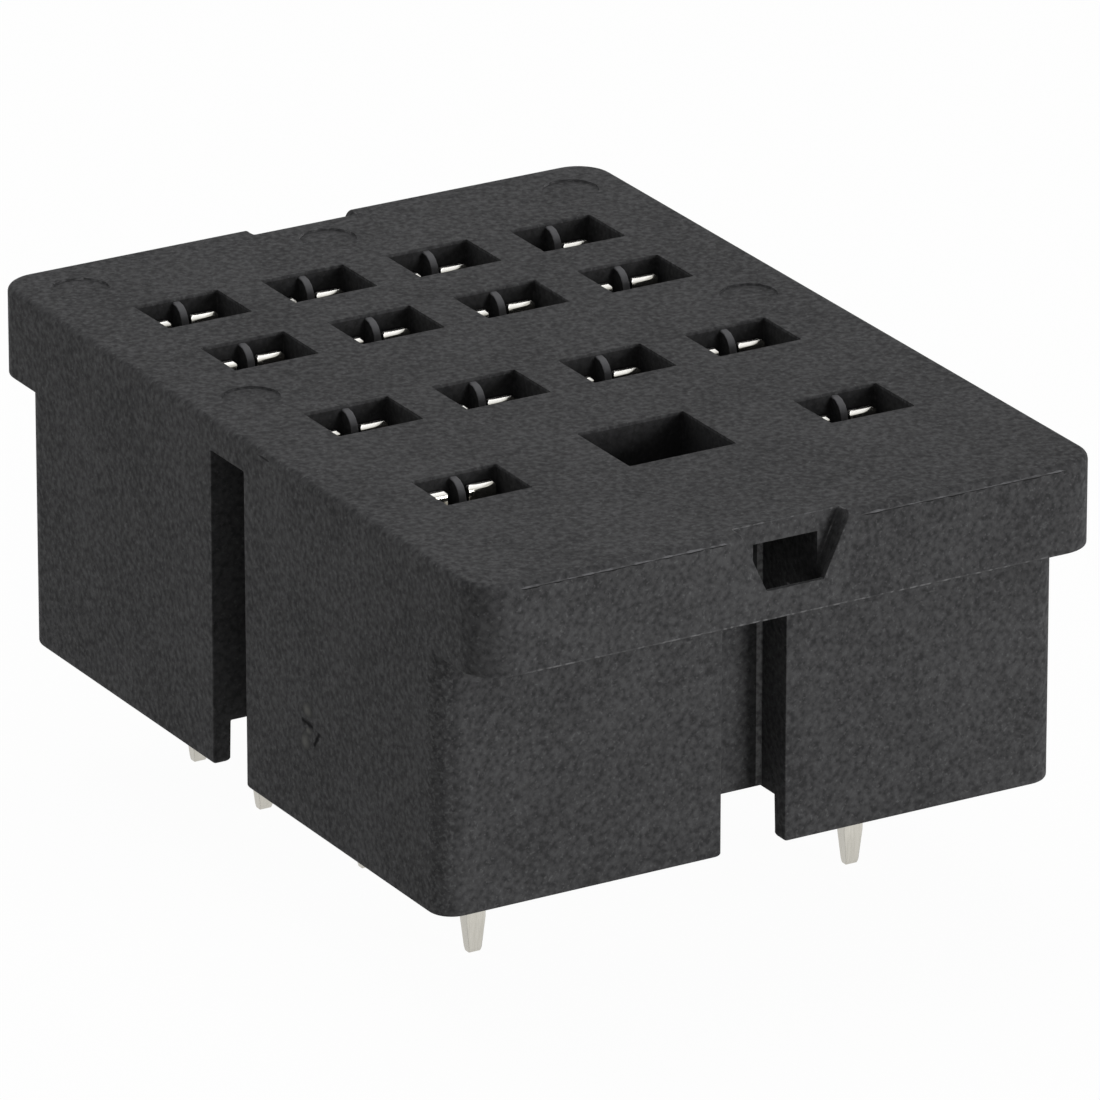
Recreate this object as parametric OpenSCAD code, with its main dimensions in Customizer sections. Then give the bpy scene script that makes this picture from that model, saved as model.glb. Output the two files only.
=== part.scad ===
// Relay socket for a circuit board: one moulded housing and fourteen folded strip contacts.
// Millimetres. Z is up, the board lies at z = 0, X runs along the contact rows and -Y is the front.

/* [Top plate] */
// Length of the top plate, front to rear
plate_l = 29.8; // [28:0.1:34]
// Width of the top plate and of the body below it
plate_w = 21.3; // [20.5:0.1:26]
// Thickness of the top plate
plate_t = 2.85; // [2.4:0.05:4]
// Radius of the plate's upright corners
plate_corner_r = 1.2; // [0.6:0.1:2]
// Rounding of the plate's upper edge
plate_edge_r = 0.2; // [0.1:0.05:0.4]

/* [Body] */
// Height of the plate's upper face above the board
seat_h = 11.2; // [10:0.1:16]
// How far the plate stands out over the body at the front
front_step = 2.3; // [1.5:0.1:2.8]
// How far the plate stands out over the body at the rear
rear_step = 2.0; // [1.5:0.1:2.4]
// Radius of the body's upright corners
body_corner_r = 0.8; // [0.8:0.1:2]
// Thickness of the skirt that stands on the board
skirt_wall = 0.6; // [0.5:0.05:0.7]
// Clear height under the block, inside the skirt
underside_h = 1.35; // [0.8:0.05:2]
// Thickness of the floor under the contacts
floor_t = 1.2; // [0.8:0.1:2]

/* [Contact grid] */
// Spacing of the contacts along a row
column_pitch = 4.4; // [4:0.1:5]
// Rear edge of the plate to the centre of the first row
rear_row_inset = 5.35; // [5:0.05:6]
// First row to second row
row_gap_1 = 4.15; // [3.6:0.05:4.6]
// Second row to third row
row_gap_2 = 6.35; // [5.5:0.05:6.8]
// Third row to front row
row_gap_3 = 6.45; // [5.5:0.05:6.8]

/* [Openings] */
// Width of a blade opening, along the row
opening_w = 2.9; // [2.4:0.1:3.2]
// Depth of a blade opening, across the row
opening_d = 2.2; // [2:0.1:2.6]
// Width of the guide rib on the front and rear wall of an opening
rib_w = 0.25; // [0.2:0.05:0.6]
// How far a guide rib stands out from its wall, and the radius of its upper end
rib_reach = 0.6; // [0.4:0.05:0.7]
// Upper face of the plate to the rib where it leaves its wall
rib_drop = 0.12; // [0.06:0.02:0.2]
// Width of the core hole in the front row
core_w = 3.7; // [2.5:0.1:4.5]
// Depth of the core hole, front to rear
core_d = 3.1; // [2:0.1:4]

/* [Clip recesses] */
// Width of a clip recess at the upper face
recess_top_w = 3.7; // [3:0.1:6]
// Width of a clip recess at its floor
recess_floor_w = 1.95; // [1.7:0.05:2.8]
// Height of a clip recess
recess_h = 1.95; // [1.7:0.05:2.2]
// How far a clip recess is set into the plate's edge
recess_depth = 0.6; // [0.3:0.05:0.8]
// Upper face of the plate to the top of the hook pocket
hook_cover = 0.65; // [0.4:0.05:1]
// Thickness of the bar that the clip's hook catches, at its foot
bar_t = 0.9; // [0.5:0.05:1.2]
// Thickness of the bar at its upper edge
lip_t = 0.2; // [0.15:0.05:0.4]
// Height of the bar's upright back, below its sloped upper end
bar_foot = 0.2; // [0.1:0.05:0.3]

/* [Grooves] */
// Width of the groove in the front and rear faces, which runs up behind the clip bar
groove_w = 2.2; // [1.2:0.1:4]
// Depth of the groove in the front and rear faces
groove_depth = 1.4; // [0.9:0.05:1.5]
// Width of the slot in each long side
slot_w = 2.05; // [1:0.05:3]
// Depth of the slot in each long side
slot_depth = 1.5; // [0.9:0.1:2]
// Plastic left above the slot in each long side
slot_cover = 1; // [0.5:0.1:2]

/* [Ejector marks] */
// Radius of a round mark in the upper face
mark_r = 0.9; // [0.5:0.05:1]
// Depth of a round mark
mark_depth = 0.08; // [0.04:0.02:0.16]
// Middle of the part to the marks near its long sides
mark_x = 8.7; // [8:0.1:8.8]
// Rear edge of the plate to the centres of the rear marks
mark_rear_inset = 2; // [1.8:0.1:2.4]
// Rear marks to the two marks near the middle of the long sides
mark_gap = 10.75; // [10:0.05:11.2]

/* [Contacts] */
// Thickness of the contact strip
strip_t = 0.25; // [0.2:0.05:0.3]
// Gap between the tines of one leaf
tine_gap = 0.7; // [0.65:0.05:1]
// Upper face of the plate to the tips of the tines
tip_drop = 0.6; // [0.3:0.1:1.2]
// Upper face of the plate to the line where the leaves grip a blade
grip_drop = 2.9; // [2:0.1:3.5]
// Gap between the leaves where they grip, with no blade in them
grip_gap = 0.3; // [0.15:0.05:0.4]
// Where a tine turns upright, as a share of the height from its grip to its tip
neck_share = 0.6; // [0.5:0.05:0.7]
// Chamfer on the inner edge of a tine's end, which leads a blade in
lead_in = 0.1; // [0.05:0.01:0.15]
// Height of the straight legs above the floor
knee_h = 2; // [1.5:0.1:2.4]
// Length of the rear row's pins below the board plane
pin_1 = 3.96; // [2.5:0.02:5]
// Length of the second row's pins
pin_2 = 4.0; // [2.5:0.02:5]
// Length of the third row's pins
pin_3 = 3.4; // [2.5:0.02:5]
// Length of the front row's pins
pin_4 = 3.78; // [2.5:0.02:5]
// Width of the contact pin
pin_w = 0.66; // [0.5:0.02:0.9]
// Width of the contact pin at its tip
tip_w = 0.38; // [0.3:0.02:0.5]
// Length of the pin's tapered end
taper_l = 1.2; // [0.6:0.1:2]

/* [Clearances] */
// Side of a contact to the wall of its opening
side_gap = 0.15; // [0.1:0.05:0.2]
// Back of a leaf to the wall of its opening
back_gap = 0.08; // [0.05:0.01:0.15]
// Front of a guide rib to the web of the contact
rib_gap = 0.1; // [0.05:0.05:0.15]
// Contact pin to its slot in the floor
pin_gap = 0.18; // [0.14:0.01:0.19]
// Tip of a retaining barb to the wall of its opening
barb_gap = 0.02; // [0.01:0.01:0.05]

/* [Hidden] */
// Heights
plate_under = seat_h - plate_t;
floor_top = underside_h + floor_t;
tip_z = seat_h - tip_drop;
// Length of a cutting shape past the face that it opens
past = 1;

// Front and rear of the plate and the body
plate_front = -plate_l / 2;
plate_rear = plate_l / 2;
body_front = plate_front + front_step;
body_rear = plate_rear - rear_step;
body_l = body_rear - body_front;
body_mid = (body_front + body_rear) / 2;

// Rows from rear to front, and each contact's place and pin length in the order of their numbers
row_1 = plate_rear - rear_row_inset;
row_2 = row_1 - row_gap_1;
row_3 = row_2 - row_gap_2;
row_4 = row_3 - row_gap_3;
columns = [for (i = [-1.5 : 1.5]) i * column_pitch];
full_rows = [for (row = [[row_1, pin_1], [row_2, pin_2], [row_3, pin_3]]) for (x = columns) concat(x, row)];
places = concat(full_rows, [[columns[0], row_4, pin_4], [columns[3], row_4, pin_4]]);
core_front = row_4 - opening_d / 2;

// Round marks in the upper face
mark_rear = plate_rear - mark_rear_inset;
mark_mid = mark_rear - mark_gap;
side_marks = [for (y = [mark_rear, mark_mid]) for (x = [-mark_x, mark_x]) [x, y]];
marks = concat([[0, mark_rear]], side_marks);

// Contact strip
contact_w = opening_w - 2 * side_gap;
leg_y = opening_d / 2 - back_gap - strip_t / 2;
grip_y = (grip_gap + strip_t) / 2;
grip_z = seat_h - grip_drop;
tight_bend = strip_t;
wide_bend = 3 * strip_t;
bend_step = 22.5;
tine_corner = 0.3 * strip_t;
barb_low = 0.5;
barb_high = 0.95;
web_notch_y = opening_d / 2 - rib_reach - rib_gap;
tine_root = floor_top + 2 * strip_t;
notch_relief = strip_t / 4;
notch_w = tine_gap + 2 * notch_relief;
seat_flat = strip_t / 15;

housing_colour = "#3b3b3e";
contact_colour = "#c9c8c3";

// Points of a quarter arc about a centre, from one angle to the other
function arc(centre, r, from, to, steps = 4) =
    [for (i = [0 : steps]) let (a = from + (to - from) * i / steps) centre + r * [cos(a), sin(a)]];

// Section of a slab's rim: square below, rounded above when it has an edge radius
function rim_section(reach, h, edge) =
    let (upper = edge > 0 ? arc([reach - edge, h - edge], edge, 0, 90) : [[reach, h]])
    concat([[0, 0], [reach, 0]], upper, [[0, h]]);

// Slab with round upright corners and a rounded upper edge: a core, a rim along each side and four corners
module slab(l, w, h, corner, edge = 0) {
    rim = rim_section(corner, h, edge);
    core_x = w / 2 - corner;
    core_y = l / 2 - corner;
    translate([-core_x, -core_y, 0])
        cube([2 * core_x, 2 * core_y, h]);
    for (side = [0, 1])
        mirror([side, 0, 0])
            translate([core_x, core_y, 0])
                rotate([90, 0, 0])
                    linear_extrude(height = 2 * core_y)
                        polygon(rim);
    for (end = [0, 1])
        mirror([0, end, 0])
            translate([-core_x, core_y, 0])
                rotate([90, 0, 90])
                    linear_extrude(height = 2 * core_x)
                        polygon(rim);
    for (end = [0, 1], side = [0, 1])
        mirror([0, end, 0])
            mirror([side, 0, 0])
                translate([core_x, core_y, 0])
                    rotate_extrude(angle = 90, $fn = 48)
                        polygon(rim);
}

// One side of a strip bent round its corner points, at a distance to the left of its middle line
function unit(v) = v / norm(v);
function left_of(v) = [-v[1], v[0]];
function turned(v, a) = [v[0] * cos(a) - v[1] * sin(a), v[0] * sin(a) + v[1] * cos(a)];
function bend(a, b, c, r, off) =
    let (u = unit(b - a), w = unit(c - b), angle = atan2(cross(u, w), u * w), turn = sign(angle))
    let (start = b - u * r * tan(abs(angle) / 2), centre = start + left_of(u) * r * turn)
    let (steps = max(2, ceil(abs(angle) / bend_step)))
    [for (i = [0 : steps]) centre + turned(start - centre, angle * i / steps) * (1 - turn * off / r)];
function strip_side(path, radii, off) =
    let (last = len(path) - 1)
    let (first_dir = unit(path[1] - path[0]), last_dir = unit(path[last] - path[last - 1]))
    concat(
        [path[0] + left_of(first_dir) * off],
        [for (i = [1 : last - 1]) each bend(path[i - 1], path[i], path[i + 1], radii[i - 1], off)],
        [path[last] + left_of(last_dir) * off]
    );

// Side view of a contact: the strip is folded at the pin's tip, its halves part above the floor
// and lean in to grip a blade, and their ends stand upright by the walls of the opening
module contact_side_view(pin) {
    half_t = strip_t / 2;
    web_z = floor_top + half_t - seat_flat;
    neck_z = grip_z + neck_share * (tip_z - grip_z);
    path = [
        [half_t, strip_t - pin],
        [half_t, web_z],
        [leg_y, web_z],
        [leg_y, floor_top + knee_h],
        [grip_y, grip_z],
        [leg_y, neck_z],
        [leg_y, tip_z]
    ];
    radii = [tight_bend, tight_bend, wide_bend, wide_bend, wide_bend];
    fold = arc([0, strip_t - pin], strip_t, -90, 0);
    outer = strip_side(path, radii, -half_t);
    inner = strip_side(path, radii, half_t);
    face_y = leg_y - half_t;
    chamfer = [[face_y + lead_in, tip_z], [face_y, tip_z - lead_in]];
    right = concat(fold, outer, chamfer, [for (i = [len(inner) - 2 : -1 : 1]) inner[i]]);
    left = [for (i = [len(right) - 2 : -1 : 1]) [-right[i][0], right[i][1]]];
    polygon(concat(right, left));
}

// Front view of a contact: tapered pin, shoulders, barbs, and the slot that parts each leaf into tines
module contact_front_view(pin) {
    half_w = contact_w / 2;
    barb_x = opening_w / 2 - barb_gap;
    slot_x = tine_gap / 2;
    over = tine_corner / 5;
    right = [
        [tip_w / 2, -pin - past],
        [tip_w / 2, -pin],
        [pin_w / 2, taper_l - pin],
        [pin_w / 2, floor_top],
        [half_w, floor_top],
        [half_w, floor_top + barb_low],
        [barb_x, floor_top + barb_high],
        [half_w, floor_top + barb_high],
        [half_w, tip_z - tine_corner],
        [half_w - tine_corner - over, tip_z + over],
        [slot_x + tine_corner + over, tip_z + over],
        [slot_x, tip_z - tine_corner],
        [slot_x, tine_root]
    ];
    left = [for (i = [len(right) - 1 : -1 : 0]) [-right[i][0], right[i][1]]];
    polygon(concat(right, left));
}

// Notches in the web of a contact, which let the guide ribs reach the floor
module web_notches() {
    for (side = [0, 1])
        mirror([0, side, 0])
            translate([-notch_w / 2, web_notch_y, floor_top - past])
                cube([notch_w, opening_d, tine_root + notch_relief - floor_top + past]);
}

module contact(place) {
    pin = place[2];
    color(contact_colour)
        translate([place[0], place[1], 0])
            difference() {
                intersection() {
                    rotate([90, 0, 90])
                        linear_extrude(height = opening_w, center = true)
                            contact_side_view(pin);
                    rotate([90, 0, 0])
                        linear_extrude(height = opening_d, center = true)
                            contact_front_view(pin);
                }
                web_notches();
            }
}

// Space for one contact: opening with two guide ribs, their round upper ends and the slot for the pin
module contact_cavity() {
    rib_front = opening_d / 2 - rib_reach;
    translate([0, 0, floor_top])
        linear_extrude(height = seat_h - floor_top + past)
            difference() {
                square([opening_w, opening_d], center = true);
                for (side = [0, 1])
                    mirror([0, side])
                        translate([-rib_w / 2, rib_front])
                            square([rib_w, opening_d]);
            }
    nose_z = seat_h - rib_drop - rib_reach;
    half_d = opening_d / 2;
    lead_in = concat(
        arc([half_d, nose_z], rib_reach, 180, 90),
        [[half_d, seat_h + past], [-half_d, seat_h + past]],
        arc([-half_d, nose_z], rib_reach, 90, 0)
    );
    rotate([90, 0, 90])
        linear_extrude(height = opening_w, center = true)
            polygon(lead_in);
    slot_x = pin_w + 2 * pin_gap;
    slot_y = 2 * (strip_t + pin_gap);
    translate([-slot_x / 2, -slot_y / 2, underside_h - past])
        cube([slot_x, slot_y, floor_t + 2 * past]);
}

// Recess in the plate's rear edge for a hold-down clip, over a body face that stands back by a step
module clip_recess(step) {
    recess_floor = seat_h - recess_h;
    cut_h = recess_h + past;
    cut_w = recess_floor_w + (recess_top_w - recess_floor_w) * cut_h / recess_h;
    outline = [
        [-recess_floor_w / 2, recess_floor],
        [recess_floor_w / 2, recess_floor],
        [cut_w / 2, recess_floor + cut_h],
        [-cut_w / 2, recess_floor + cut_h]
    ];
    translate([0, plate_rear + past, 0])
        rotate([90, 0, 0])
            linear_extrude(height = recess_depth + past)
                polygon(outline);
    groove_floor = plate_rear - step - groove_depth;
    hook_top = seat_h - hook_cover;
    groove = [
        [groove_floor, -past],
        [plate_rear - bar_t, -past],
        [plate_rear - bar_t, plate_under + bar_foot],
        [plate_rear - lip_t, recess_floor],
        [plate_rear - lip_t, hook_top],
        [groove_floor, hook_top]
    ];
    rotate([90, 0, 90])
        linear_extrude(height = groove_w, center = true)
            polygon(groove);
}

// Slot in a long side, open at the board
module side_slot() {
    translate([plate_w / 2 - slot_depth, body_mid - slot_w / 2, -past])
        cube([slot_depth + past, slot_w, seat_h - slot_cover + past]);
}

module housing() {
    color(housing_colour)
        difference() {
            union() {
                translate([0, 0, plate_under])
                    slab(plate_l, plate_w, plate_t, plate_corner_r, plate_edge_r);
                translate([0, body_mid, 0])
                    slab(body_l, plate_w, plate_under, body_corner_r);
            }
            translate([0, body_mid, -past])
                slab(
                    body_l - 2 * skirt_wall,
                    plate_w - 2 * skirt_wall,
                    underside_h + past,
                    body_corner_r - skirt_wall
                );
            for (place = places)
                translate([place[0], place[1], 0])
                    contact_cavity();
            translate([-core_w / 2, core_front, underside_h - past])
                cube([core_w, core_d, seat_h - underside_h + 2 * past]);
            clip_recess(rear_step);
            mirror([0, 1, 0])
                clip_recess(front_step);
            for (side = [0, 1])
                mirror([side, 0, 0])
                    side_slot();
            for (mark = marks)
                translate([mark[0], mark[1], seat_h - mark_depth])
                    cylinder(h = mark_depth + past, r = mark_r, $fn = 24);
        }
}

housing();
for (i = [0 : len(places) - 1])
    contact(places[i]);
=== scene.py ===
import math

import bpy
import numpy as np
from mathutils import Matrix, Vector


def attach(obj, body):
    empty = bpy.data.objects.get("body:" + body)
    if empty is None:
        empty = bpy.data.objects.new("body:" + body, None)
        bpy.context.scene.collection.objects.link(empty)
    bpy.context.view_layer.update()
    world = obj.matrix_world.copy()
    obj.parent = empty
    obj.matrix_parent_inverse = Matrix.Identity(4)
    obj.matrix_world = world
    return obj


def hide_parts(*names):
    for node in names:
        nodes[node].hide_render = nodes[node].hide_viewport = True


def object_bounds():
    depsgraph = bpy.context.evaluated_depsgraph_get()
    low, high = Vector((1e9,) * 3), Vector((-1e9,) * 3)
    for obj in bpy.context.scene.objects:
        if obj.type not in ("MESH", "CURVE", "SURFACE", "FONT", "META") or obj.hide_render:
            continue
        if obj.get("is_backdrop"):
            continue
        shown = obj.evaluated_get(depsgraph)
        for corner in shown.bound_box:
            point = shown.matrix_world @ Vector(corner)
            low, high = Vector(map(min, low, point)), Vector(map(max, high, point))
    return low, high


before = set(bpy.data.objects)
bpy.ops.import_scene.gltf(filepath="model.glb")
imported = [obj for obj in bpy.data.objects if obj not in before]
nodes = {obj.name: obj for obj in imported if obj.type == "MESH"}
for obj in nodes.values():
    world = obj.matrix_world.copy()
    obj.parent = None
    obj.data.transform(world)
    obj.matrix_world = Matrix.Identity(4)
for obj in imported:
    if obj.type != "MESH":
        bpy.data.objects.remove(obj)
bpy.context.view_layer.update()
mm = 0.001  # metres
print("frame loaded,", len(nodes), "solids")


# sRGB hex to linear: each channel through the sRGB curve
def hexToLinear(hexText):
    channels = np.array([int(hexText[i:i + 2], 16) for i in (1, 3, 5)]) / 255
    linear = np.where(channels <= 0.04045, channels / 12.92, ((channels + 0.055) / 1.055) ** 2.4)
    return (*linear.tolist(), 1.0)


# adds one node; settings are attributes or input values, links go from a source socket to an input
def addNode(tree, kind, settings=None, links=None):
    node = tree.nodes.new(kind)
    for key, value in (settings or {}).items():
        if isinstance(key, int) or key in node.inputs:
            node.inputs[key].default_value = value
        else:
            setattr(node, key, value)
    for key, source in (links or {}).items():
        tree.links.new(source, node.inputs[key])
    return node


def newMaterial(name):
    material = bpy.data.materials.new(name)
    material.use_nodes = True
    material.node_tree.nodes.clear()
    return material


# marks the vertices that stand on the board plane, for the foot's radius
def markFoot(node, tolerance):
    places = np.empty(3 * len(node.data.vertices), dtype=np.float32)
    node.data.vertices.foreach_get("co", places)
    onBoard = np.flatnonzero(np.abs(places[2::3]) < tolerance)
    group = node.vertex_groups.new(name="foot")
    group.add(onBoard.tolist(), 1.0, "REPLACE")


# loose triangles are welded and flat faces joined, then every sharp edge gets a small radius and a foot a larger one
def roundEdges(node, rounding, edgeSlot=-1):
    weld = node.modifiers.new("weld", "WELD")
    weld.merge_threshold = rounding["weldMm"] * mm
    flat = node.modifiers.new("flatFaces", "DECIMATE")
    flat.decimate_type = "DISSOLVE"
    flat.angle_limit = math.radians(rounding["flatAngle"])
    if "footMm" in rounding:
        markFoot(node, rounding["weldMm"] * mm)
        foot = node.modifiers.new("footRadius", "BEVEL")
        foot.width = rounding["footMm"] * mm
        foot.segments = rounding["footSegments"]
        foot.limit_method = "VGROUP"
        foot.vertex_group = "foot"
        foot.offset_type = "OFFSET"
    bevel = node.modifiers.new("edgeRadius", "BEVEL")
    bevel.width = rounding["radiusMm"] * mm
    bevel.segments = rounding["segments"]
    bevel.limit_method = "ANGLE"
    bevel.angle_limit = math.radians(rounding["sharpAngle"])
    bevel.harden_normals = True
    bevel.miter_outer = "MITER_ARC"
    bevel.offset_type = "ABSOLUTE"  # keeps short edges from spiking where faces meet at a shallow angle
    bevel.use_clamp_overlap = False
    bevel.material = edgeSlot
    normals = node.modifiers.new("evenNormals", "WEIGHTED_NORMAL")
    normals.keep_sharp = False


# housing of glass-filled nylon from a spark-eroded mould: matt black, mottled where fibre lies near the skin, with pale
# specks; fibre is 0.01 mm thick, too fine to show, so its grain and specks are drawn ten to twenty times as coarse
housingLook = {
    "dark": "#282829", "light": "#3e3e3f", "speck": "#5c5c5d", "gloss": 0.12, "ior": 1.53, "rough": (0.85, 0.65),
    # size in mm, detail and roughness of each noise, turned off the part's axes so that no lattice lines up with a face
    "noise": {"grain": (0.18, 2.0, 0.5), "cloud": (3.0, 3.0, 0.55), "speck": (0.11, 1.0, 0.5), "pit": (0.05, 2.0, 0.5)},
    "turn": (0.5, 0.8, 0.3), "noiseSpan": (0.3, 0.7), "cloudTone": 0.22, "speckSpan": (0.62, 0.74), "speckShare": 0.32,
    "pitBump": (0.5, 0.003), "grainBump": (0.6, 0.008),  # strength, and depth in mm
    # regions are limits in mm on the measures that regionAxes gives
    "bodyMiddleMm": 0.15, "columnMm": 2.2,
    # scuffs down the body's near left corner, where more specks show
    "scuff": {"more": 0.1, "region": {"x": (-11.0, -10.2), "y": (-12.75, -11.75), "z": (-1.0, 8.0)}},
    "tintSpan": (0.35, 0.6),
    "tints": {
        # walls of the openings and the core hole, darker: painted shade where little light reaches into them
        "hollowShade": {"tone": "#161617", "share": (0.65, 0.65),
                  "region": {"x": (-8.3, 8.3), "y": (-8.725, 10.875), "z": (1.0, 11.1)}},
        # round crowns of the guide ribs, paler where they face up: a painted highlight
        "crownHighlight": {"tone": "#58585a", "share": (1.0, 1.0),
                  "region": {"column": (-0.135, 0.135), "y": (-11.0, 11.0), "z": (10.2, 11.14), "rise": (0.1, 1.1)}},
        # pale line down the inner corners of the grooves: a painted highlight
        "cornerHighlight": {"tone": "#868687", "share": (0.35, 0.9),
                 "region": {"side": (0.93, 1.13), "depth": (11.2, 11.41), "z": (-1.0, 10.5)}},
    },
    # moulded edges get a pale dotted line, partly fibre and partly a painted highlight, most on the plate's overhang at
    # front and rear, less towards its corners and none round the recesses
    "edge": {"tone": "#707071", "dots": (0.22, 1.0), "dotSpan": (0.48, 0.62), "share": (0.1, 0.55), "elsewhere": 0.1,
             "overhangMm": (12.95, 13.05), "cornerMm": (8.2, 9.4),
             "recess": {"side": (-2.05, 2.05), "end": (14.6, 16.0), "z": (9.3, 12.0)}},
    "rounding": {"weldMm": 0.001, "flatAngle": 1.0, "radiusMm": 0.05, "segments": 2, "sharpAngle": 35.0,
                 "footMm": 0.13, "footSegments": 4},
}


# measures of the part as sockets, in mm: x, y and z, the distance from the middle in x (side) and in y (end), from the
# body's own middle in y (depth) and from the nearest column of ribs (column), and how far the surface faces up (rise)
def regionAxes(tree, place, look):
    scaled = addNode(tree, "ShaderNodeVectorMath", {"operation": "SCALE", "Scale": 1 / mm}, {0: place})
    x, y, z = addNode(tree, "ShaderNodeSeparateXYZ", {}, {0: scaled.outputs[0]}).outputs
    side = addNode(tree, "ShaderNodeMath", {"operation": "ABSOLUTE"}, {0: x})
    end = addNode(tree, "ShaderNodeMath", {"operation": "ABSOLUTE"}, {0: y})
    along = addNode(tree, "ShaderNodeMath", {"operation": "SUBTRACT", 1: look["bodyMiddleMm"]}, {0: y})
    depth = addNode(tree, "ShaderNodeMath", {"operation": "ABSOLUTE"}, {0: along.outputs[0]})
    offset = addNode(tree, "ShaderNodeMath", {"operation": "ADD", 1: look["columnMm"]}, {0: x})
    column = addNode(tree, "ShaderNodeMath", {"operation": "PINGPONG", 1: look["columnMm"]}, {0: offset.outputs[0]})
    normal = addNode(tree, "ShaderNodeNewGeometry").outputs["True Normal"]
    rise = addNode(tree, "ShaderNodeSeparateXYZ", {}, {0: normal})
    return {"x": x, "y": y, "z": z, "side": side.outputs[0], "end": end.outputs[0], "depth": depth.outputs[0],
            "column": column.outputs[0], "rise": rise.outputs[2]}


# share of a region: one where every measure lies between its two limits, else nought; each measure's distance from the
# limits' middle is compared with half their span, and the answers are multiplied
def regionShare(tree, axes, region):
    share = None
    for axis, (low, high) in region.items():
        held = addNode(tree, "ShaderNodeMath",
                       {"operation": "COMPARE", 1: (low + high) / 2, 2: (high - low) / 2}, {0: axes[axis]})
        if share is not None:
            held = addNode(tree, "ShaderNodeMath", {"operation": "MULTIPLY"}, {0: share.outputs[0], 1: held.outputs[0]})
        share = held
    return share.outputs[0]


# share of the dotted edge line, fibre and painted highlight: dots, times the overhang's share, the corners' share and
# what lies outside the recesses
def edgeFibreAndHighlightShare(tree, axes, turned, edge):
    size, detail = edge["dots"]
    dots = addNode(tree, "ShaderNodeTexNoise", {"Scale": 1 / (size * mm), "Detail": detail}, {"Vector": turned})
    (dotLow, dotHigh), (least, most) = edge["dotSpan"], edge["share"]
    dotted = addNode(tree, "ShaderNodeMapRange", {1: dotLow, 2: dotHigh, 3: least, 4: most}, {0: dots.outputs[0]})
    start, end = edge["overhangMm"]
    overhang = addNode(tree, "ShaderNodeMapRange", {1: start, 2: end, 3: edge["elsewhere"]}, {0: axes["end"]})
    start, end = edge["cornerMm"]
    corner = addNode(tree, "ShaderNodeMapRange", {1: start, 2: end, 3: 1.0, 4: edge["elsewhere"]}, {0: axes["side"]})
    outside = addNode(tree, "ShaderNodeMath", {"operation": "SUBTRACT", 0: 1.0},
                      {1: regionShare(tree, axes, edge["recess"])})
    share = dotted
    for factor in (overhang, outside, corner):
        share = addNode(tree, "ShaderNodeMath", {"operation": "MULTIPLY"}, {0: share.outputs[0], 1: factor.outputs[0]})
    return share.outputs[0]


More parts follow.
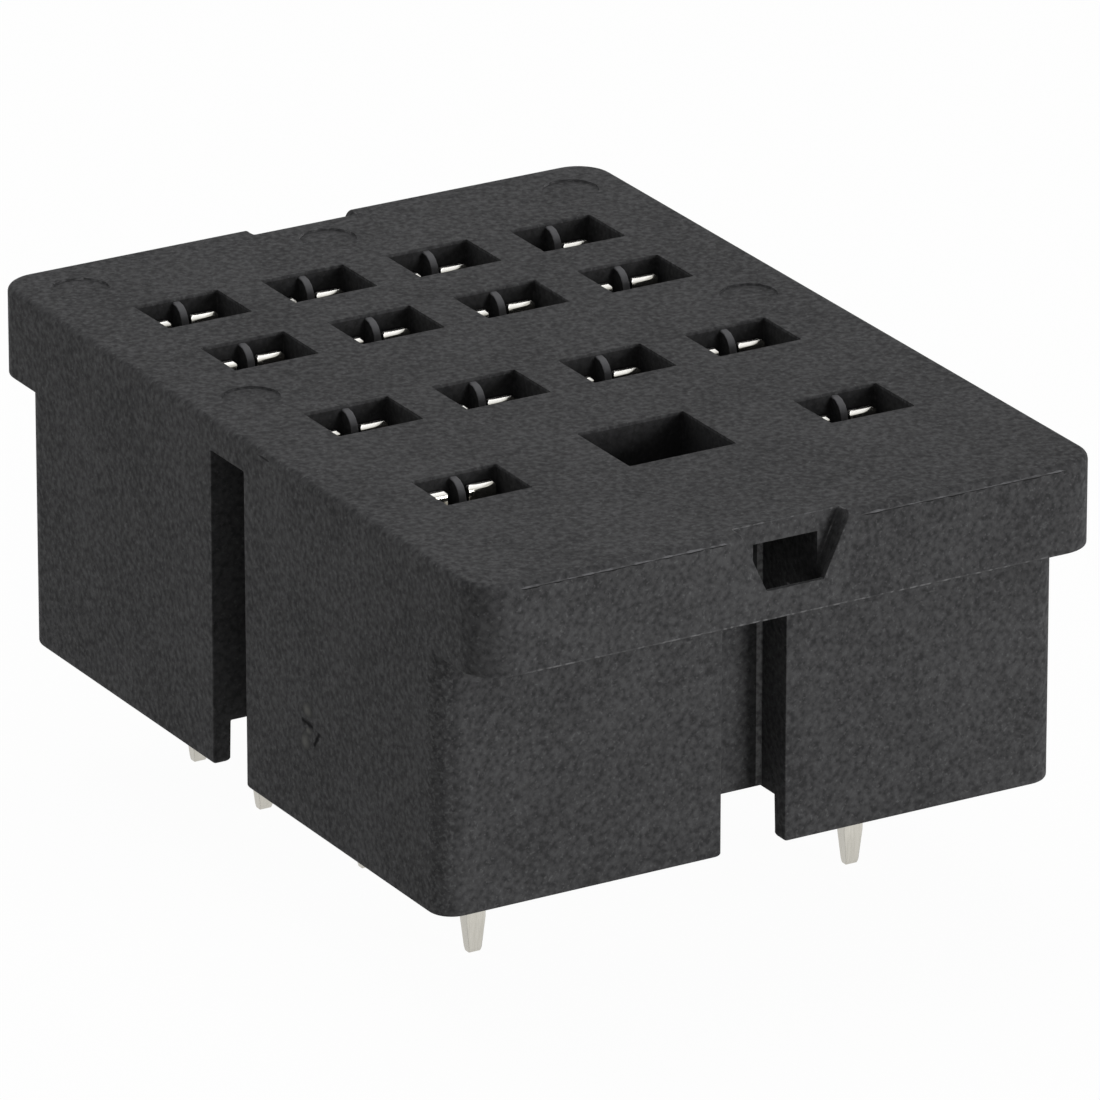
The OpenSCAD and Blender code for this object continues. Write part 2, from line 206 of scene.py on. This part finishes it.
def mouldedNylon(name, look, edge=None):
    material = newMaterial(name)
    tree = material.node_tree
    place = addNode(tree, "ShaderNodeTexCoord").outputs["Object"]
    axes = regionAxes(tree, place, look)
    turned = addNode(tree, "ShaderNodeMapping", {"Rotation": look["turn"]}, {"Vector": place}).outputs[0]
    noise = {}
    for key, (size, detail, fineness) in look["noise"].items():
        noise[key] = addNode(tree, "ShaderNodeTexNoise",
                             {"Scale": 1 / (size * mm), "Detail": detail, "Roughness": fineness},
                             {"Vector": turned}).outputs[0]
    low, high = look["noiseSpan"]
    grainTone = addNode(tree, "ShaderNodeMapRange", {1: low, 2: high}, {0: noise["grain"]})
    cloudTone = addNode(tree, "ShaderNodeMapRange", {1: low, 2: high, 3: -look["cloudTone"], 4: look["cloudTone"]},
                        {0: noise["cloud"]})
    tone = addNode(tree, "ShaderNodeMath", {"operation": "ADD", "use_clamp": True},
                   {0: grainTone.outputs[0], 1: cloudTone.outputs[0]})
    colour = addNode(tree, "ShaderNodeMix",
                     {"data_type": "RGBA", 6: hexToLinear(look["dark"]), 7: hexToLinear(look["light"])},
                     {0: tone.outputs[0]})
    moreSpecks = addNode(tree, "ShaderNodeMath", {"operation": "MULTIPLY_ADD", 1: look["scuff"]["more"]},
                         {0: regionShare(tree, axes, look["scuff"]["region"]), 2: noise["speck"]})
    specks = addNode(tree, "ShaderNodeMapRange",
                     {1: look["speckSpan"][0], 2: look["speckSpan"][1], 4: look["speckShare"]},
                     {0: moreSpecks.outputs[0]})
    colour = addNode(tree, "ShaderNodeMix", {"data_type": "RGBA", 7: hexToLinear(look["speck"])},
                     {0: specks.outputs[0], 6: colour.outputs[2]})
    # each tint paints its region: shade into the hollows, a highlight onto the rib crowns and groove corners
    for tint in look["tints"].values():
        amount = addNode(tree, "ShaderNodeMapRange",
                         {1: look["tintSpan"][0], 2: look["tintSpan"][1], 3: tint["share"][0], 4: tint["share"][1]},
                         {0: noise["grain"]})
        share = addNode(tree, "ShaderNodeMath", {"operation": "MULTIPLY"},
                        {0: regionShare(tree, axes, tint["region"]), 1: amount.outputs[0]})
        colour = addNode(tree, "ShaderNodeMix", {"data_type": "RGBA", 7: hexToLinear(tint["tone"])},
                         {0: share.outputs[0], 6: colour.outputs[2]})
    # pale dotted edge line: fibre and a painted highlight
    if edge:
        colour = addNode(tree, "ShaderNodeMix", {"data_type": "RGBA", 7: hexToLinear(edge["tone"])},
                         {0: edgeFibreAndHighlightShare(tree, axes, turned, edge), 6: colour.outputs[2]})
    rough = addNode(tree, "ShaderNodeMapRange", {1: low, 2: high, 3: look["rough"][0], 4: look["rough"][1]},
                    {0: noise["grain"]})
    strength, depth = look["pitBump"]
    pitted = addNode(tree, "ShaderNodeBump", {"Strength": strength, "Distance": depth * mm}, {"Height": noise["pit"]})
    strength, depth = look["grainBump"]
    uneven = addNode(tree, "ShaderNodeBump", {"Strength": strength, "Distance": depth * mm},
                     {"Height": noise["grain"], "Normal": pitted.outputs[0]})
    shader = addNode(tree, "ShaderNodeBsdfPrincipled", {"IOR": look["ior"], "Specular IOR Level": look["gloss"]},
                     {"Base Color": colour.outputs[2], "Roughness": rough.outputs[0], "Normal": uneven.outputs[0]})
    addNode(tree, "ShaderNodeOutputMaterial", {}, {"Surface": shader.outputs[0]})
    return material


housing = nodes["housing"]
housing.material_slots[0].material = mouldedNylon("glassFilledNylon", housingLook)
# the bevel faces take the pale dotted edge line, fibre and a painted highlight
housing.data.materials.append(mouldedNylon("glassFilledNylonFibreAndHighlightEdge", housingLook, housingLook["edge"]))
roundEdges(housing, housingLook["rounding"], 1)
print("housing dressed")


# contacts as the photograph shows them, in the order of their numbers: how far the tines' ends stand over or under the
# solid's, and the pins' lengths below the board plane, thinned towards the tip and cut off flat
contactStrips = {
    "liftMm": (0.0, -0.1, -0.11, -0.14, 0.05, -0.04, 0.03, 0.05, -0.08, -0.13, -0.07, 0.0, 0.165, -0.05),
    "pinMm": (3.7, 3.7, 3.7, 3.7, 3.79, 3.79, 3.79, 3.79, 3.4, 3.4, 3.4, 3.4, 3.75, 3.75),
    "gripMm": 8.3, "neckMm": 9.7, "thinFromMm": 2.2, "tipShare": 0.6, "cutMm": 0.1,
    "rounding": {"weldMm": 0.001, "flatAngle": 1.0, "radiusMm": 0.02, "segments": 1, "sharpAngle": 50.0},
    # tin plating on rolled bronze strip: a soft white metal with faint drawn streaks along it, duller all over but
    # for a bright band at the tines' ends, a painted highlight that narrows to their outer corners; real streaks are a
    # few microns wide, too fine to show, so they are drawn coarser and twelve times as long as wide
    "highlightTin": "#efede8", "dull": "#c6c3bb", "dullest": "#b4b1a8",
    "bandMm": (10.51, 10.6), "bandRampMm": 0.03, "narrowMm": (0.8, 1.3), "openingMm": (1.4, 2.5),
    "streakMm": 0.06, "streakDetail": 3.0, "drawn": 0.08, "streakBump": (0.03, 0.001),
    "rough": (0.22, 0.34), "tineRough": 0.1,
}


def tinPlate(look):
    material = newMaterial("tinPlate")
    tree = material.node_tree
    place = addNode(tree, "ShaderNodeTexCoord").outputs["Object"]
    drawn = addNode(tree, "ShaderNodeMapping", {"Scale": (1.0, 1.0, look["drawn"])}, {"Vector": place})
    streaks = addNode(tree, "ShaderNodeTexNoise",
                      {"Scale": 1 / (look["streakMm"] * mm), "Detail": look["streakDetail"]},
                      {"Vector": drawn.outputs[0]})
    dulled = addNode(tree, "ShaderNodeMix",
                     {"data_type": "RGBA", 6: hexToLinear(look["dullest"]), 7: hexToLinear(look["dull"])},
                     {0: streaks.outputs[0]})
    height = addNode(tree, "ShaderNodeAttribute", {"attribute_name": "height"})
    across = addNode(tree, "ShaderNodeAttribute", {"attribute_name": "across"})
    # painted highlight: a band at the tines' ends whose foot rises towards their outer corners
    bandFoot = addNode(tree, "ShaderNodeMapRange",
                       {1: look["narrowMm"][0], 2: look["narrowMm"][1], 3: look["bandMm"][0], 4: look["bandMm"][1]},
                       {0: across.outputs["Fac"]})
    overFoot = addNode(tree, "ShaderNodeMath", {"operation": "SUBTRACT"},
                       {0: height.outputs["Fac"], 1: bandFoot.outputs[0]})
    highlightBand = addNode(tree, "ShaderNodeMapRange", {1: 0.0, 2: look["bandRampMm"]}, {0: overFoot.outputs[0]})
    colour = addNode(tree, "ShaderNodeMix", {"data_type": "RGBA", 7: hexToLinear(look["highlightTin"])},
                     {0: highlightBand.outputs[0], 6: dulled.outputs[2]})
    # the tines' faces are smooth enough to mirror the dark opening; pins and the highlight band at the ends scatter
    # more
    inOpening = addNode(tree, "ShaderNodeMapRange", {1: look["openingMm"][0], 2: look["openingMm"][1]},
                        {0: height.outputs["Fac"]})
    polished = addNode(tree, "ShaderNodeMath", {"operation": "SUBTRACT", "use_clamp": True},
                       {0: inOpening.outputs[0], 1: highlightBand.outputs[0]})
    drawnRough = addNode(tree, "ShaderNodeMapRange", {3: look["rough"][0], 4: look["rough"][1]},
                         {0: streaks.outputs[0]})
    rough = addNode(tree, "ShaderNodeMix", {"data_type": "FLOAT", 3: look["tineRough"]},
                    {0: polished.outputs[0], 2: drawnRough.outputs[0]})
    strength, depth = look["streakBump"]
    bump = addNode(tree, "ShaderNodeBump", {"Strength": strength, "Distance": depth * mm},
                   {"Height": streaks.outputs[0]})
    shader = addNode(tree, "ShaderNodeBsdfPrincipled", {"Metallic": 1.0},
                     {"Base Color": colour.outputs[2], "Roughness": rough.outputs[0], "Normal": bump.outputs[0]})
    addNode(tree, "ShaderNodeOutputMaterial", {}, {"Surface": shader.outputs[0]})
    return material


# the solid's own points, moved: heights over the grip shift by a ramp that is full from the neck up, heights under the
# board stretch to the pin's length and are cut off flat, and depths narrow in a straight ramp down to the tip
def seatContact(number, strips, tin):
    node = nodes[f"contact_{number}"]
    lift, pin = strips["liftMm"][number - 1], strips["pinMm"][number - 1]
    mesh = node.data.copy()
    mesh.name = f"contactStrip_{number}"
    places = np.empty(3 * len(mesh.vertices), dtype=np.float32)
    mesh.vertices.foreach_get("co", places)
    x, y, height = places.reshape(-1, 3).T / mm
    raised = lift * np.clip((height - strips["gripMm"]) / (strips["neckMm"] - strips["gripMm"]), 0, 1)
    drawn = np.where(height < 0, height * (pin + strips["cutMm"]) / -height.min(), height)
    drawn = np.maximum(drawn, -pin) + raised
    narrow = np.interp(-drawn, (strips["thinFromMm"], pin), (1, strips["tipShare"]))
    middleX, middleY = (x.min() + x.max()) / 2, (y.min() + y.max()) / 2
    moved = np.stack([x, middleY + (y - middleY) * narrow, drawn], axis=1) * mm
    mesh.vertices.foreach_set("co", moved.ravel().astype(np.float32))
    for key, values in (("height", height), ("across", np.abs(x - middleX))):
        mesh.attributes.new(key, "FLOAT", "POINT").data.foreach_set("value", values.astype(np.float32))
    mesh.materials.clear()
    mesh.materials.append(tin)
    strip = bpy.data.objects.new(f"contactStrip_{number}", mesh)
    bpy.context.scene.collection.objects.link(strip)
    roundEdges(strip, strips["rounding"])
    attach(strip, "root")
    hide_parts(f"contact_{number}")


tinMaterial = tinPlate(contactStrips)
for number in range(1, len(contactStrips["pinMm"]) + 1):
    seatContact(number, contactStrips, tinMaterial)
print("contacts seated")


# torn gate on the left side face: three low pale humps and two tears in painted shade; places and sizes are in y and z
gateScar = {
    "sideMm": -10.65, "centreMm": (-4.8, 3.35), "halfMm": (0.75, 1.0), "grid": (80, 108),
    "heightMm": 0.035, "sinkMm": 0.006, "skinMm": 0.03,
    "humps": (((-4.65, 3.88), (0.26, 0.2)), ((-4.52, 2.83), (0.24, 0.24)), ((-4.72, 3.24), (0.16, 0.1))),
    "ripples": ((19, 7, 0), (-9, 15, 0), (0, 31, 2)), "rippleShare": 0.25,  # turns in y and in z, and phase
    "tears": (((-4.38, 3.47), (-4.93, 3.44)), ((-5.33, 3.3), (-5.08, 2.92))), "tearMm": 0.075, "ragged": 0.35,
    "furrow": 0.85, "floorFrom": 0.2, "floorMm": 0.004,
    "pale": "#585856", "tearShade": "#101011", "paleSpan": (0.15, 0.9), "tearShadeSpan": (0.25, 0.9),
    "grainMm": 0.22, "grainDetail": 2.0, "grainSpan": (0.3, 0.7), "gloss": 0.04, "ior": 1.53, "rough": 0.8,
}


# distance from grid points to a line between two ends, by clamping the foot of the perpendicular
def lineDistance(across, up, start, end):
    runY, runZ = end[0] - start[0], end[1] - start[1]
    along = np.clip(((across - start[0]) * runY + (up - start[1]) * runZ) / (runY ** 2 + runZ ** 2), 0, 1)
    return np.hypot(across - start[0] - along * runY, up - start[1] - along * runZ)


# scab height over the side face: a sum of bell-shaped humps, rippled by three sines, with a ragged bell-shaped furrow
# along each tear whose floor stays just in sight
def gateScarSheet(scar):
    countY, countZ = scar["grid"]
    unitY, unitZ = np.meshgrid(np.linspace(-1, 1, countY), np.linspace(-1, 1, countZ))
    across = scar["centreMm"][0] + scar["halfMm"][0] * unitY
    up = scar["centreMm"][1] + scar["halfMm"][1] * unitZ
    waves = [np.sin(turnsY * unitY + turnsZ * unitZ + phase) for turnsY, turnsZ, phase in scar["ripples"]]
    ripple = np.mean(waves, axis=0)
    rise = np.zeros_like(across)
    for (middleY, middleZ), (spreadY, spreadZ) in scar["humps"]:
        rise += np.exp(-((across - middleY) / spreadY) ** 2 - ((up - middleZ) / spreadZ) ** 2)
    width = scar["tearMm"] * (1 + scar["ragged"] * ripple)
    tear = np.zeros_like(across)
    for start, end in scar["tears"]:
        tear = np.maximum(tear, np.exp(-(lineDistance(across, up, start, end) / width) ** 2))
    rippled = 1 - scar["rippleShare"] + scar["rippleShare"] * ripple
    height = scar["heightMm"] * rise * rippled * (1 - scar["furrow"] * tear) - scar["sinkMm"]
    height = np.where(tear > scar["floorFrom"], np.maximum(height, scar["floorMm"]), height)
    points = np.stack([scar["sideMm"] - height, across, up], axis=-1).reshape(-1, 3) * mm
    corner = (np.arange(countZ - 1)[:, None] * countY + np.arange(countY - 1)).ravel()
    faces = np.stack([corner, corner + countY, corner + countY + 1, corner + 1], axis=1)
    mesh = bpy.data.meshes.new("gateScar")
    mesh.from_pydata(points.tolist(), [], faces.tolist())
    for key, values in (("tear", tear), ("rise", rise)):
        mesh.attributes.new(key, "FLOAT", "POINT").data.foreach_set("value", values.ravel().astype(np.float32))
    mesh.polygons.foreach_set("use_smooth", np.ones(len(faces), dtype=bool))
    mesh.materials.append(tornNylon(scar))
    scab = bpy.data.objects.new("gateScar", mesh)
    bpy.context.scene.collection.objects.link(scab)
    skin = scab.modifiers.new("skin", "SOLIDIFY")
    skin.thickness = scar["skinMm"] * mm
    skin.offset = -1.0
    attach(scab, "root")


# torn nylon: stretched pale where the gate broke off, with the tears painted dark as shade
def tornNylon(look):
    material = newMaterial("tornNylon")
    tree = material.node_tree
    place = addNode(tree, "ShaderNodeTexCoord").outputs["Object"]
    tear = addNode(tree, "ShaderNodeAttribute", {"attribute_name": "tear"})
    rise = addNode(tree, "ShaderNodeAttribute", {"attribute_name": "rise"})
    grain = addNode(tree, "ShaderNodeTexNoise",
                    {"Scale": 1 / (look["grainMm"] * mm), "Detail": look["grainDetail"]}, {"Vector": place})
    mottle = addNode(tree, "ShaderNodeMapRange", {1: look["grainSpan"][0], 2: look["grainSpan"][1]},
                     {0: grain.outputs[0]})
    skin = addNode(tree, "ShaderNodeMix",
                   {"data_type": "RGBA", 6: hexToLinear(housingLook["dark"]), 7: hexToLinear(housingLook["light"])},
                   {0: mottle.outputs[0]})
    stretched = addNode(tree, "ShaderNodeMapRange", {1: look["paleSpan"][0], 2: look["paleSpan"][1]},
                        {0: rise.outputs["Fac"]})
    mottled = addNode(tree, "ShaderNodeMix", {"data_type": "RGBA", 7: hexToLinear(look["pale"])},
                      {0: stretched.outputs[0], 6: skin.outputs[2]})
    # painted shade along the tears
    shadedTear = addNode(tree, "ShaderNodeMapRange", {1: look["tearShadeSpan"][0], 2: look["tearShadeSpan"][1]},
                       {0: tear.outputs["Fac"]})
    colour = addNode(tree, "ShaderNodeMix", {"data_type": "RGBA", 7: hexToLinear(look["tearShade"])},
                     {0: shadedTear.outputs[0], 6: mottled.outputs[2]})
    shader = addNode(tree, "ShaderNodeBsdfPrincipled",
                     {"IOR": look["ior"], "Specular IOR Level": look["gloss"], "Roughness": look["rough"]},
                     {"Base Color": colour.outputs[2]})
    addNode(tree, "ShaderNodeOutputMaterial", {}, {"Surface": shader.outputs[0]})
    return material


gateScarSheet(gateScar)
print("gate scar laid")


# parting flash: a thin uneven bead where the mould halves met, under the upper edge of the plate's short sides, and a
# nick in the long left edge, black all over as painted shade; each runs with the plate on its left, and dark is the
# least share of painted shadow on it
partingFlash = {
    "runs": {
        "flashFrontLeft": {"fromMm": (-9.6, -14.9), "toMm": (-1.95, -14.9), "dark": 0.0},
        "flashFrontRight": {"fromMm": (1.95, -14.9), "toMm": (9.6, -14.9), "dark": 0.0},
        "flashRearRight": {"fromMm": (9.6, 14.9), "toMm": (1.95, 14.9), "dark": 0.0},
        "flashRearLeft": {"fromMm": (-1.95, 14.9), "toMm": (-9.6, 14.9), "dark": 0.0},
        "edgeNickShade": {"fromMm": (-10.65, -1.5), "toMm": (-10.65, -2.55), "dark": 1.0},
    },
    "levelMm": 11.02, "sinkMm": 0.012, "reachMm": 0.034, "riseMm": 0.065, "stepMm": 0.1, "ring": 12,
    "ripples": ((0.2, 7.0, 1.0), (0.14, 17.0, 0.0), (0.12, 2.3, 0.0)),  # height, turns per mm, share of x in the phase
    "fullness": 0.62, "least": 0.3, "taperMm": 0.5, "tipShare": 0.05,
    "pale": "#58585a", "under": "#0c0c0d", "dotMm": 0.3, "dotDetail": 1.0, "dotSpan": (0.42, 0.62),
    "underSpan": (0.45, 0.6), "gloss": 0.12, "ior": 1.53, "rough": 0.7,
}


# flat oval profile carried along a straight run, swelling and thinning by three sines, thinned and capped at both ends
def flashBead(name, flash, material):
    run = flash["runs"][name]
    start, end = np.array(run["fromMm"]), np.array(run["toMm"])
    length = np.hypot(*(end - start))
    count, ring = int(length / flash["stepMm"]) + 2, flash["ring"]
    distance = np.linspace(0, length, count)
    along = (end - start) / length
    outward = np.array([along[1], -along[0]])
    ripple = sum(height * np.sin(turns * distance + share * start[0]) for height, turns, share in flash["ripples"])
    ends = np.clip(np.minimum(distance, length - distance) / flash["taperMm"], flash["tipShare"], 1)
    swell = (np.clip(flash["fullness"] + ripple, flash["least"], 1) * ends)[:, None]
    turn = np.linspace(0, 2 * math.pi, ring, endpoint=False)
    reach = flash["reachMm"] * swell * np.cos(turn) - flash["sinkMm"]
    place = (start + distance[:, None] * along)[:, None, :] + reach[:, :, None] * outward
    level = flash["levelMm"] + flash["riseMm"] * swell * np.sin(turn)
    points = np.concatenate([place, level[:, :, None]], axis=2).reshape(-1, 3) * mm
    base = np.arange(count - 1)[:, None] * ring
    here, after = np.arange(ring), (np.arange(ring) + 1) % ring
    quads = np.stack([base + here, base + ring + here, base + ring + after, base + after], axis=-1).reshape(-1, 4)
    faces = quads.tolist() + [here.tolist(), ((count - 1) * ring + here[::-1]).tolist()]
    mesh = bpy.data.meshes.new(name)
    mesh.from_pydata(points.tolist(), [], faces)
    # share of painted shadow round the bead
    under = np.tile(np.maximum(0.5 - 0.5 * np.sin(turn), run["dark"]), count)  # nought on top, one underneath
    mesh.attributes.new("under", "FLOAT", "POINT").data.foreach_set("value", under.astype(np.float32))
    mesh.polygons.foreach_set("use_smooth", np.arange(len(faces)) < len(quads))  # the two caps stay flat
    mesh.materials.append(material)
    bead = bpy.data.objects.new(name, mesh)
    bpy.context.scene.collection.objects.link(bead)
    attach(bead, "root")


# nylon flash: pale and dotted on its upper half, fibre and a painted highlight, black on its lower half, a painted
# shadow
def flashNylon(look):
    material = newMaterial("nylonFlash")
    tree = material.node_tree
    place = addNode(tree, "ShaderNodeTexCoord").outputs["Object"]
    under = addNode(tree, "ShaderNodeAttribute", {"attribute_name": "under"})
    dots = addNode(tree, "ShaderNodeTexNoise",
                   {"Scale": 1 / (look["dotMm"] * mm), "Detail": look["dotDetail"]}, {"Vector": place})
    dotted = addNode(tree, "ShaderNodeMapRange", {1: look["dotSpan"][0], 2: look["dotSpan"][1]}, {0: dots.outputs[0]})
    upper = addNode(tree, "ShaderNodeMix",
                    {"data_type": "RGBA", 6: hexToLinear(housingLook["light"]), 7: hexToLinear(look["pale"])},
                    {0: dotted.outputs[0]})
    lower = addNode(tree, "ShaderNodeMapRange", {1: look["underSpan"][0], 2: look["underSpan"][1]},
                    {0: under.outputs["Fac"]})
    colour = addNode(tree, "ShaderNodeMix", {"data_type": "RGBA", 7: hexToLinear(look["under"])},
                     {0: lower.outputs[0], 6: upper.outputs[2]})
    shader = addNode(tree, "ShaderNodeBsdfPrincipled",
                     {"IOR": look["ior"], "Specular IOR Level": look["gloss"], "Roughness": look["rough"]},
                     {"Base Color": colour.outputs[2]})
    addNode(tree, "ShaderNodeOutputMaterial", {}, {"Surface": shader.outputs[0]})
    return material


flashMaterial = flashNylon(partingFlash)
for name in partingFlash["runs"]:
    flashBead(name, partingFlash, flashMaterial)
print("parting flash laid")


# photo paper: near white; the camera and mirrors see it lifted to white, so only a faint shadow stays
stageLook = {"paper": "#e4e4e2", "white": "#ffffff", "seenWhite": 0.97, "sizeMm": 4000.0, "lightLevel": 0.25}


# share of white that a ray sees: full for camera, mirror and glass rays, none for the rest
def seenShare(tree):
    path = addNode(tree, "ShaderNodeLightPath")
    mirrored = addNode(tree, "ShaderNodeMath", {"operation": "MAXIMUM"},
                       {0: path.outputs["Is Glossy Ray"], 1: path.outputs["Is Transmission Ray"]})
    return addNode(tree, "ShaderNodeMath", {"operation": "MAXIMUM"},
                   {0: path.outputs["Is Camera Ray"], 1: mirrored.outputs[0]}).outputs[0]


# a square sheet at the level of the longest pin's end
def paperFloor(look):
    material = newMaterial("photoPaper")
    tree = material.node_tree
    seen = addNode(tree, "ShaderNodeMath", {"operation": "MULTIPLY", 1: look["seenWhite"]}, {0: seenShare(tree)})
    paper = addNode(tree, "ShaderNodeBsdfDiffuse", {"Color": hexToLinear(look["paper"])})
    glow = addNode(tree, "ShaderNodeEmission", {"Color": hexToLinear(look["white"]), "Strength": 1.0})
    mixed = addNode(tree, "ShaderNodeMixShader", {}, {0: seen.outputs[0], 1: paper.outputs[0], 2: glow.outputs[0]})
    addNode(tree, "ShaderNodeOutputMaterial", {}, {"Surface": mixed.outputs[0]})
    half = look["sizeMm"] * mm / 2
    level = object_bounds()[0].z
    mesh = bpy.data.meshes.new("floor")
    mesh.from_pydata([(-half, -half, level), (half, -half, level), (half, half, level), (-half, half, level)], [],
                     [(0, 1, 2, 3)])
    mesh.materials.append(material)
    floor = bpy.data.objects.new("floor", mesh)
    bpy.context.scene.collection.objects.link(floor)
    floor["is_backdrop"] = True


def whiteRoom(look):
    world = bpy.data.worlds.new("whiteRoom")
    bpy.context.scene.world = world
    world.use_nodes = True
    tree = world.node_tree
    tree.nodes.clear()
    level = addNode(tree, "ShaderNodeMapRange", {3: look["lightLevel"], 4: 1.0}, {0: seenShare(tree)})
    room = addNode(tree, "ShaderNodeBackground", {"Color": hexToLinear(look["white"])}, {"Strength": level.outputs[0]})
    addNode(tree, "ShaderNodeOutputWorld", {}, {"Surface": room.outputs[0]})


# soft boxes: direction towards the lamp, distance and size in millimetres, power in watts
softBoxes = {
    "keyBox": {"towards": (0.44, -0.9, 0.14), "distanceMm": 600.0, "sizeMm": 200.0, "watts": 3.2},
    "sideBox": {"towards": (-0.85, 0.5, 0.15), "distanceMm": 600.0, "sizeMm": 400.0, "watts": 0.9},
    "topBox": {"towards": (0.05, 0.35, 1.0), "distanceMm": 600.0, "sizeMm": 450.0, "watts": 1.75},
}


def addSoftBox(name, box):
    lamp = bpy.data.lights.new(name, "AREA")
    lamp.size = box["sizeMm"] * mm
    lamp.energy = box["watts"]
    holder = bpy.data.objects.new(name, lamp)
    away = Vector(box["towards"]).normalized()
    holder.location = away * box["distanceMm"] * mm
    holder.rotation_euler = away.to_track_quat("Z", "Y").to_euler()
    bpy.context.scene.collection.objects.link(holder)


paperFloor(stageLook)
whiteRoom(stageLook)
for name, box in softBoxes.items():
    addSoftBox(name, box)
print("stage and lamps placed")


# long lens at the photograph's angle, aimed at a point inside the block
cameraView = {"azimuth": -30.35, "elevation": 21.75, "lensMm": 411.8, "sensorMm": 36.0, "distanceMm": 379.05,
              "aimMm": (-0.735, -1.946, 6.06)}


def addCamera(view):
    azimuth = math.radians(view["azimuth"])
    elevation = math.radians(view["elevation"])
    back = Vector((math.sin(azimuth) * math.cos(elevation), -math.cos(azimuth) * math.cos(elevation),
                   math.sin(elevation)))
    lens = bpy.data.cameras.new("camera")
    lens.lens = view["lensMm"]
    lens.sensor_width = view["sensorMm"]
    camera = bpy.data.objects.new("camera", lens)
    camera.location = Vector(view["aimMm"]) * mm + back * view["distanceMm"] * mm
    camera.rotation_euler = back.to_track_quat("Z", "Y").to_euler()
    bpy.context.scene.collection.objects.link(camera)
    bpy.context.scene.camera = camera


addCamera(cameraView)
bpy.context.scene.view_settings.view_transform = "Standard"
print("camera placed")
